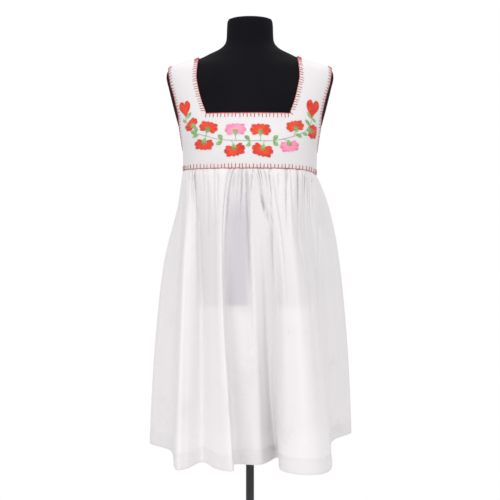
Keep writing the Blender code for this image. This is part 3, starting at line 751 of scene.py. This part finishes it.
def strand_mesh(name, paths, wide, high, material, closed_ends=True):
    """One mesh of many flat strands, each a low arch along its path of (points, normals). wide is one
    width, or a list with the width, or widths, of each path."""
    rings = []
    for (points, normals), width in zip(paths, wide if isinstance(wide, list) else [wide] * len(paths)):
        count = len(points)
        across = np.cross(np.gradient(points, axis=0), normals)
        across /= np.linalg.norm(across, axis=1, keepdims=True) + 1e-12
        ends = np.sin(np.pi * np.linspace(0.06, 0.94, count)) ** 0.35 if closed_ends else np.ones(count)
        rings.append(
            points[:, None]
            + across[:, None] * STRAND[None, :, :1] * (width * ends)[:, None, None]
            + normals[:, None] * STRAND[None, :, 1:] * high * ends[:, None, None]
        )
    obj = new_mesh(name, *joined(rings))
    obj.data.materials.append(material)
    return obj


def satin(starts, ends, rng, dome=0.0006, steps=5, lift_off=0.0):
    """Strands from each start to its end, on the yoke, each in a soft arc off the cloth."""
    starts, ends = np.asarray(starts, float), np.asarray(ends, float)
    t = np.linspace(0, 1, steps)
    flat = starts[:, None] + (ends - starts)[:, None] * t[:, None]
    arc = dome * np.sin(np.pi * np.clip(t, 0.02, 0.98)) ** 0.6
    rise = 0.0002 + lift_off + arc + rng.uniform(0, 0.00018, (len(starts), 1))
    low = on_yoke(flat[..., 0], flat[..., 1], 0.0)
    normals = (on_yoke(flat[..., 0], flat[..., 1], 0.001) - low) / 0.001
    return list(zip(low + normals * rise[..., None], normals))


def turned(points, turn):
    cosine, sine = np.cos(np.radians(turn)), np.sin(np.radians(turn))
    x, z = np.moveaxis(np.asarray(points, float), -1, 0)
    return np.stack([x * cosine - z * sine, x * sine + z * cosine], axis=-1)


def blossom_edge(angle):
    """A blossom's outline, as a share of its width: a fan with round petals and a notch below."""
    side = np.degrees(np.arcsin(np.sin(angle)))
    reach = smooth(side, *zip(*PETALS))
    along = (np.degrees(angle) + 62) / 304
    reach = reach * (1.05 - SCALLOP_DEEP * (1 - np.abs(np.sin(np.pi * SCALLOPS * along)) ** 0.6))
    return np.stack([reach * np.cos(angle), reach * np.sin(angle)], axis=-1)


def make_blossoms():
    """The blossoms' strands by thread, with their green calyces."""
    rng = np.random.default_rng(11)
    paths = {"red": [], "pink": [], "green": []}
    cup = np.linspace(-1, 1, 11)
    calyx_tops = CALYX * np.stack([cup * 0.125, 0.01 - 0.07 * cup**2], axis=-1)
    calyx_roots = CALYX * np.stack([cup * 0.055, -0.30 + 0.06 * cup**2], axis=-1)
    for _, x, z, turn, width, thread in BLOSSOMS:
        place = np.array([x, z])
        count = int(width / 0.00032)
        spokes = blossom_edge(np.radians(np.linspace(-60, 240, count))) - BLOSSOM_FOOT
        for first, last in ((0.10, 1.0), (0.42, 0.80)):
            starts = BLOSSOM_FOOT + spokes * (first + rng.uniform(-0.03, 0.09, (count, 1)))
            ends = BLOSSOM_FOOT + spokes * (last + rng.uniform(-0.02, 0.01, (count, 1)))
            starts, ends = (place + width * turned(line, turn) for line in (starts, ends))
            paths[thread] += satin(starts, ends, rng, dome=0.0008)
        starts, ends = (place + turned(line, turn) for line in (calyx_roots, calyx_tops))
        paths["green"] += satin(starts, ends, rng, lift_off=0.0010)
    return paths


def heart_edge(angle):
    """Two round lobes above a long point."""
    t = np.pi / 2 - angle
    z = 13 * np.cos(t) - 5 * np.cos(2 * t) - 2 * np.cos(3 * t) - np.cos(4 * t)
    return np.stack([0.5 * np.sin(t) ** 3, HEART_TALL * z / 34], axis=-1)


def filled(edge, slope, spacing):
    """Parallel lines at an angle that fill a closed outline: their starts and ends."""
    edge = turned(edge, -slope)
    after = np.roll(edge, -1, axis=0)
    starts, ends = [], []
    for level in np.arange(edge[:, 1].min() + spacing / 2, edge[:, 1].max(), spacing):
        crossing = (edge[:, 1] - level) * (after[:, 1] - level) < 0
        a, b = edge[crossing], after[crossing]
        x = np.sort(a[:, 0] + (b[:, 0] - a[:, 0]) * (level - a[:, 1]) / (b[:, 1] - a[:, 1]))
        for left, right in zip(x[::2], x[1::2]):
            if right - left > spacing:
                starts.append((left, level))
                ends.append((right, level))
    return turned(starts, slope), turned(ends, slope)


def make_hearts():
    rng = np.random.default_rng(12)
    paths = []
    for _, x, z, turn, width in HEARTS:
        edge = width * heart_edge(np.linspace(0, 2 * np.pi, 181)[:-1])
        starts, ends = filled(turned(edge, turn), 28 if x < 0 else -28, 0.00060)
        place = np.array([x, z])
        paths += satin(place + starts, place + ends, rng, dome=0.0009, steps=7)
    return paths


def make_leaves():
    rng = np.random.default_rng(13)
    paths = []
    for _, root_x, root_z, tip_x, tip_z, wide, curl in LEAVES:
        root, tip = np.array([root_x, root_z]), np.array([tip_x, tip_z])
        way = tip - root
        length = np.linalg.norm(way)
        beside = np.array([-way[1], way[0]]) / length
        t = np.linspace(0, 1, max(8, int(length / 0.00055)))
        spine = root + way * t[:, None] + beside * (curl * length * np.sin(np.pi * t) * 0.5)[:, None]
        half = 0.5 * wide * np.sin(np.pi * np.clip(t, 0.02, 0.98) ** 0.95) ** 0.75
        slant = way / length * 0.15
        starts = spine - (beside - slant) * half[:, None]
        ends = spine + (beside + slant) * half[:, None]
        paths += satin(starts, ends, rng, dome=0.0006, steps=4)
    return paths


def smooth_line(points, step):
    """A Catmull-Rom line through the points, with a point about every step."""
    points = np.asarray(points, float)
    padded = np.concatenate([[2 * points[0] - points[1]], points, [2 * points[-1] - points[-2]]])
    line = []
    for i in range(len(points) - 1):
        count = max(2, int(np.linalg.norm(points[i + 1] - points[i]) / step))
        t = np.linspace(0, 1, count, endpoint=False)[:, None]
        line.append(catmull_rom(*padded[i : i + 4], t))
    return np.concatenate(line + [points[-1:]])


def make_stems():
    """Stem stitch: short slanted strands that overlap along each line."""
    rng = np.random.default_rng(14)
    paths = []
    for stem in STEMS:
        line = smooth_line(stem, 0.0018)
        if len(line) < 3:
            line = smooth_line(stem, 0.0008)
        way = np.gradient(line, axis=0)
        beside = unit(np.stack([-way[:, 1], way[:, 0]], axis=-1))
        starts = line[:-1] - beside[:-1] * 0.00022 - way[:-1] * 0.6
        ends = line[1:] + beside[1:] * 0.00022 + way[1:] * 0.6
        paths += satin(starts, ends, rng, dome=0.0003, steps=4)
    return paths


# The blanket stitch along each edge: how far apart its stitches are, and how wide its thread is in the
# stitches and along the edge.
STITCHES = {
    "neck": (0.0084, 0.0016, 0.0016),
    "strap": (0.0064, 0.0012, 0.0008),
    "armhole": (0.0074, 0.0012, 0.0006),
    "seam": (0.0078, 0.0014, 0.0015),
}
STITCH_LONG = 0.0102
STITCH_HIGH = 0.0007


def stitched_edges(side):
    """The yoke's edges, each a line of points, with the direction into the cloth at each."""
    lower, (left, right) = yoke_rows(side, CLOTH)
    across = YOKE_STRAP_COLUMNS
    left = np.concatenate([[lower[-1, : across + 1]], left])
    right = np.concatenate([[lower[-1, -across - 1 :]], right])
    first = int((UNDERARM - WAIST_SEAM) / (NECKLINE[side] - WAIST_SEAM) * YOKE_LOWER_ROWS)
    middle = slice(across, len(lower[0]) - across)
    neck = np.concatenate([left[:0:-1, -1], lower[-1, middle], right[1:, 0]])
    neck_in = np.concatenate([left[:0:-1, -2], lower[-3, middle], right[1:, 1]])
    length = lengths(neck)
    strap = (length < length[len(left) - 1]) | (length > length[-len(right)])
    kinds = np.where(strap[:, None], STITCHES["strap"], STITCHES["neck"])
    armholes = [
        (*(np.concatenate([lower[first:-1, i], strap[:, i]]) for i in columns), STITCHES["armhole"])
        for strap, columns in ((left, (0, 1)), (right, (-1, -2)))
    ]
    return (neck, neck_in, kinds), *armholes, (lower[0], lower[2], STITCHES["seam"])


def make_blanket_stitch(name, side, material):
    """The blanket stitch round the neckline and the armholes and along the seam of one yoke."""
    lower, straps = yoke_rows(side, CLOTH)
    rng = np.random.default_rng(15 + side)
    points, faces = joined([lower, *straps])
    if side > 0:
        faces = faces[:, ::-1]
    tree = BVHTree.FromPolygons(points.tolist(), faces.tolist())

    def laid(spots, off):
        """The spots, snapped onto the cloth and lifted off it, with the cloth's normals."""
        found = [tree.find_nearest(Vector(spot)) for spot in spots]
        normals = np.array([hit[1] for hit in found])
        return np.array([hit[0] for hit in found]) + normals * np.asarray(off)[:, None], normals

    paths, widths = [], []
    for edge, inward, kinds in stitched_edges(side):
        length = lengths(edge)
        steps, threads, edge_threads = np.broadcast_to(kinds, (len(edge), 3)).T
        if kinds is STITCHES["seam"]:
            square_on = np.clip(np.abs(np.gradient(edge[:, 0], length)), 0.65, 1)
            steps, edge_threads = steps / square_on, edge_threads * square_on
        stitches = np.concatenate([[0], np.cumsum(np.diff(length) / ((steps[1:] + steps[:-1]) / 2))])
        count = int(round(stitches[-1]))
        at = np.interp((np.arange(count) + 0.5) / count * stitches[-1], stitches, length)
        at = at + rng.uniform(-0.0006, 0.0006, count)

        spots = read_line(edge, length, at)
        way = unit(read_line(inward, length, at) - spots)
        along = unit(read_line(edge, length, at + 0.001) - read_line(edge, length, at - 0.001))
        for spot, inside, beside, wide in zip(spots, way, along, np.interp(at, length, threads)):
            long = STITCH_LONG * rng.uniform(0.88, 1.1)
            lean = rng.uniform(-0.10, 0.10)
            t = np.linspace(0, 1, 6)
            line = spot + (inside + beside * lean) * (t * long)[:, None]
            paths.append(laid(line, 0.0003 + 0.0003 * np.sin(np.pi * t)))
            widths.append(wide)
        fine = np.arange(0, length[-1], 0.0012)
        nearest = np.abs(fine[:, None] - at).min(axis=1)
        knots = 0.0004 + 0.0004 * np.exp(-((nearest / 0.0012) ** 2))
        paths.append(laid(read_line(edge, length, fine), knots))
        widths.append(np.interp(fine, length, edge_threads))
    obj = strand_mesh(name, paths, widths, STITCH_HIGH, material, closed_ends=False)
    return obj


class Look:
    """A material: its Principled shader, and the nodes that feed it."""

    def __init__(self, name, base, roughness):
        self.material = bpy.data.materials.new(name)
        self.material.use_nodes = True
        self.tree = self.material.node_tree
        self.shader = self.tree.nodes["Principled BSDF"]
        self.shade(Base_Color=(*base, 1), Roughness=roughness)

    def feed(self, socket, value):
        if isinstance(value, bpy.types.NodeSocket):
            self.tree.links.new(value, socket)
        else:
            socket.default_value = value

    def shade(self, **inputs):
        """Feeds the shader's inputs, named with _ for a space."""
        for key, value in inputs.items():
            self.feed(self.shader.inputs[key.replace("_", " ")], value)

    def add(self, kind, output, *values, settings=(), **inputs):
        """The output of a new node. values feed its first inputs, and inputs those of that name."""
        node = self.tree.nodes.new("ShaderNode" + kind)
        for key, value in dict(settings).items():
            setattr(node, key, value)
        for socket, value in zip(node.inputs, values):
            self.feed(socket, value)
        for key, value in inputs.items():
            self.feed(node.inputs[key.replace("_", " ")], value)
        return node.outputs[output]

    def place(self):
        return self.add("TexCoord", "Object")

    def noise(self, place, scale, detail):
        return self.add("TexNoise", "Fac", Vector=place, Scale=scale, Detail=detail)

    def bands(self, place, way, scale, distortion):
        inputs = {"Vector": place, "Scale": scale, "Distortion": distortion}
        return self.add("TexWave", "Fac", settings={"bands_direction": way}, **inputs)

    def math(self, operation, *values):
        return self.add("Math", 0, *values, settings={"operation": operation})

    def ramp(self, value, dark, light, start=0.0, end=1.0):
        colour = self.add("ValToRGB", "Color", value)
        stops = colour.node.color_ramp.elements
        stops[0].position, stops[0].color = start, (*dark, 1)
        stops[1].position, stops[1].color = end, (*light, 1)
        return colour

    def bump(self, height, strength, distance):
        return self.add("Bump", "Normal", Height=height, Strength=strength, Distance=distance)


SLUBS = ((1200.0, 55.0, 1.0), (55.0, 1200.0, 1.0))
CLOTH_TINTS = ((0.74, 0.714, 0.715), (0.88, 0.852, 0.852))
# Painted shade: the lavender tint the cloth's colour takes where the dark form lies behind it.
PAINTED_FORM_SHADE_TINT = (0.80, 0.765, 0.80, 1)
LIGHT_THROUGH = 0.12
BETWEEN_THREADS = (0.035, 0.20)
JERSEY_TINTS = ((0.0030, 0.0030, 0.0045), (0.0060, 0.0060, 0.0082))
STEEL_TINTS = ((0.026, 0.026, 0.028), (0.040, 0.040, 0.042))


def cloth_material(name, painted_shade_factor):
    """Off-white plain weave, thin enough to let light and a dark form show through faintly; where the
    form lies behind, its colour also takes a painted shade of the form. The second argument multiplies
    its colour: painted shade that makes each copy of the one cloth darker by its own amount."""
    look = Look(name, (0.82, 0.79, 0.79), 0.9)
    uv = look.add("UVMap", "UV", settings={"uv_map": "cut"})
    warp, weft = (look.add("Mapping", 0, Vector=uv, Scale=scale) for scale in SLUBS)
    slubs = look.math("ADD", look.noise(warp, 1.0, 2.0), look.noise(weft, 1.0, 2.0))
    weave = look.math("MULTIPLY", look.bands(uv, "X", 210.0, 0.6), look.bands(uv, "Y", 210.0, 0.6))
    bump = look.bump(look.math("MULTIPLY_ADD", weave, 0.5, slubs), 0.35, 0.0004)
    tone = look.math("MULTIPLY_ADD", slubs, 0.5, look.noise(uv, 9.0, 3.0))
    # Painted shade: the cloth's colour is darkened by the given factor.
    dark, light = (tuple(painted_shade_factor * v for v in tint) for tint in CLOTH_TINTS)
    colour = look.ramp(tone, dark, light, 0.55, 0.9)
    # Painted shade: where the form lies behind, the colour is tinted towards a shade of the form, and
    # the cloth is made more see-through.
    see_through_and_painted_shade = look.add("Attribute", "Fac", settings={"attribute_name": "see_through_and_painted_shade"})
    painted_form_shade = look.add("MixRGB", "Color", Fac=see_through_and_painted_shade, Color1=colour, Color2=PAINTED_FORM_SHADE_TINT)
    look.shade(Base_Color=painted_form_shade, Normal=bump)
    look.shade(Sheen_Weight=0.15, Sheen_Roughness=0.5, Specular_IOR_Level=0.2)
    through = look.add("BsdfTranslucent", 0, Color=colour, Normal=bump)
    thin = look.add("MixShader", 0, LIGHT_THROUGH, look.shader.outputs[0], through)
    least, most = BETWEEN_THREADS
    sheer = look.add("MapRange", 0, Value=see_through_and_painted_shade, To_Min=least, To_Max=most)
    mix = look.add("MixShader", 0, sheer, thin, look.add("BsdfTransparent", 0))
    look.feed(look.tree.nodes["Material Output"].inputs["Surface"], mix)
    return look.material


def thread_material(name, dark, light):
    """Stranded cotton: fine ply lines, and a little change of tone from strand to strand."""
    look = Look(name, light, 0.55)
    place = look.place()
    tone = look.math("MULTIPLY_ADD", look.noise(place, 420.0, 2.0), 0.6, look.noise(place, 60.0, 1.0))
    look.shade(
        Base_Color=look.ramp(tone, dark, light, 0.45, 0.95),
        Normal=look.bump(look.noise(place, 2600.0, 1.0), 0.3, 0.0002),
        Sheen_Weight=0.2,
        Specular_IOR_Level=0.35,
    )
    return look.material


def jersey_material():
    """Black cotton jersey: fine vertical ribs and a faint bloom of fibres."""
    look = Look("black_jersey", (0.010, 0.010, 0.013), 0.85)
    place = look.place()
    height = look.math("ADD", look.bands(place, "X", 160.0, 0.8), look.noise(place, 900.0, 3.0))
    look.shade(
        Base_Color=look.ramp(look.noise(place, 14.0, 3.0), *JERSEY_TINTS),
        Normal=look.bump(height, 0.25, 0.0003),
        Sheen_Weight=0.015,
        Sheen_Roughness=0.6,
        Specular_IOR_Level=0.06,
    )
    return look.material


def steel_material():
    """Black powder-coated steel with its fine orange-peel texture."""
    look = Look("black_steel", (0.03, 0.03, 0.032), 0.38)
    place = look.place()
    worn = look.noise(place, 25.0, 4.0)
    look.shade(
        Base_Color=look.ramp(worn, *STEEL_TINTS),
        Roughness=look.add("MapRange", 0, Value=worn, To_Min=0.30, To_Max=0.48),
        Normal=look.bump(look.noise(place, 700.0, 2.0), 0.15, 0.0002),
        Metallic=0.4,
    )
    return look.material


# Each light's name, where it hangs, how wide it is and its watts.
LIGHTS = (
    ("key", (-1.7, -2.8, 2.5), 1.8, 44),
    ("fill", (1.9, -2.7, 2.1), 2.2, 29),
    ("top", (0.2, 0.3, 3.4), 2.0, 22),
    ("behind", (0.6, 2.6, 1.8), 2.4, 14),
)
ROOM_LIGHT = 0.77
FLOOR_RADIUS = 1.2
FLOOR_CORNERS = 96
LOOK_AT = Vector((0, 0, 0.95))
CAMERA_PLACE = (0, -2.4, 1.032)
CAMERA_LENS = 74.2
CAMERA_DOWN = 1.9


def make_floor():
    """A round pale floor, small enough to lie outside the photograph's view."""
    look = Look("pale_floor", (0.66, 0.66, 0.66), 0.7)
    mottle = look.noise(look.place(), 3.0, 3.0)
    look.shade(Roughness=look.add("MapRange", 0, Value=mottle, To_Min=0.6, To_Max=0.8))
    mesh = bpy.data.meshes.new("floor")
    turn = np.arange(FLOOR_CORNERS) / FLOOR_CORNERS * 2 * np.pi
    rim = FLOOR_RADIUS * np.stack([np.cos(turn), np.sin(turn), 0 * turn], axis=-1)
    mesh.from_pydata(rim.tolist(), [], [range(FLOOR_CORNERS)])
    mesh.materials.append(look.material)
    floor = bpy.data.objects.new("floor", mesh)
    floor.location.z = -0.0005
    bpy.context.scene.collection.objects.link(floor)


def make_light_and_camera():
    scene = bpy.context.scene
    for name, place, size, watts in LIGHTS:
        light = bpy.data.lights.new(name, "AREA")
        light.shape, light.size, light.energy = "DISK", size, watts
        obj = bpy.data.objects.new(name, light)
        obj.location = place
        obj.rotation_euler = (LOOK_AT - Vector(place)).to_track_quat("-Z", "Y").to_euler()
        scene.collection.objects.link(obj)
    world = bpy.data.worlds.new("studio")
    world.use_nodes = True
    nodes, link = world.node_tree.nodes, world.node_tree.links.new
    backdrop, room = nodes["Background"], nodes.new("ShaderNodeBackground")
    backdrop.inputs["Color"].default_value = (1.0, 1.0, 1.0, 1)
    room.inputs["Color"].default_value = (0.98, 0.98, 1.0, 1)
    room.inputs["Strength"].default_value = ROOM_LIGHT
    seen, both = nodes.new("ShaderNodeLightPath"), nodes.new("ShaderNodeMixShader")
    parts = seen.outputs["Is Camera Ray"], room.outputs[0], backdrop.outputs[0]
    for part, socket in zip(parts, both.inputs):
        link(part, socket)
    link(both.outputs[0], nodes["World Output"].inputs["Surface"])
    scene.world = world
    scene.view_settings.view_transform = "Standard"
    camera = bpy.data.cameras.new("camera")
    camera.lens, camera.sensor_width = CAMERA_LENS, 36
    obj = bpy.data.objects.new("camera", camera)
    obj.location = CAMERA_PLACE
    obj.rotation_euler = (np.radians(90 - CAMERA_DOWN), 0, 0)
    scene.collection.objects.link(obj)
    scene.camera = obj


def main():
    threads = {
        "red": thread_material("red_thread", (0.52, 0.022, 0.010), (0.82, 0.062, 0.018)),
        "pink": thread_material("pink_thread", (0.85, 0.20, 0.36), (0.99, 0.33, 0.49)),
        "green": thread_material("green_thread", (0.14, 0.32, 0.08), (0.34, 0.57, 0.21)),
        "stem": thread_material("stem_thread", (0.16, 0.30, 0.17), (0.34, 0.50, 0.32)),
        "edge": thread_material("edge_thread", (0.30, 0.008, 0.016), (0.55, 0.030, 0.036)),
        "white": thread_material("white_thread", (0.74, 0.72, 0.72), (0.88, 0.86, 0.86)),
    }
    # Painted shade: the yoke's copy of the cloth is darker than the skirt's, the same linen darkened for
    # how it is lit.
    yoke_cloth = cloth_material("yoke_cloth", 0.91)
    yokes = [make_yoke("yoke_front_cloth", -1, yoke_cloth), make_yoke("yoke_back_cloth", 1, yoke_cloth)]
    panels, loops = make_skirt(cloth_material("skirt_cloth", 0.985))
    for piece, node in zip(yokes + panels, ("yoke_front", "yoke_back", "skirt_front", "skirt_back")):
        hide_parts(node)
    make_form(jersey_material())
    paths = make_blossoms()
    paths["red"] += make_hearts()
    paths["green"] += make_leaves()
    red, pink = (["blossom_" + row[0] for row in BLOSSOMS if row[5] == name] for name in ("red", "pink"))
    hearts, leaves = [row[0] for row in HEARTS], [row[0] for row in LEAVES if row[0]]
    for thread, strands, wide, slot, stood_for in (
        ("red", paths["red"], THREAD_WIDE, "red_thread", red + hearts),
        ("pink", paths["pink"], THREAD_WIDE, "pink_thread", pink),
        ("green", paths["green"], THREAD_WIDE, "green_thread", leaves),
        ("stem", make_stems(), STEM_WIDE, "green_thread", ["vine"]),
    ):
        obj = strand_mesh(thread + "_embroidery", strands, wide, THREAD_HIGH, threads[thread])
        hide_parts(*stood_for)
    make_blanket_stitch("edge_stitch_front", -1, threads["edge"])
    back_trims = [make_blanket_stitch("edge_stitch_back", 1, threads["edge"])]
    for panel, yoke, first in zip(panels, yokes, PANEL_STARTS):
        hem = make_hem_stitch(panel.name.replace("cloth", "hem_stitch"), loops, first, threads["white"])
    steel = steel_material()
    for node in ("base", "pole", "form_socket"):
        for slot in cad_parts[node].material_slots:
            slot.material = steel
    make_floor()
    make_light_and_camera()
    bpy.context.view_layer.update()


main()
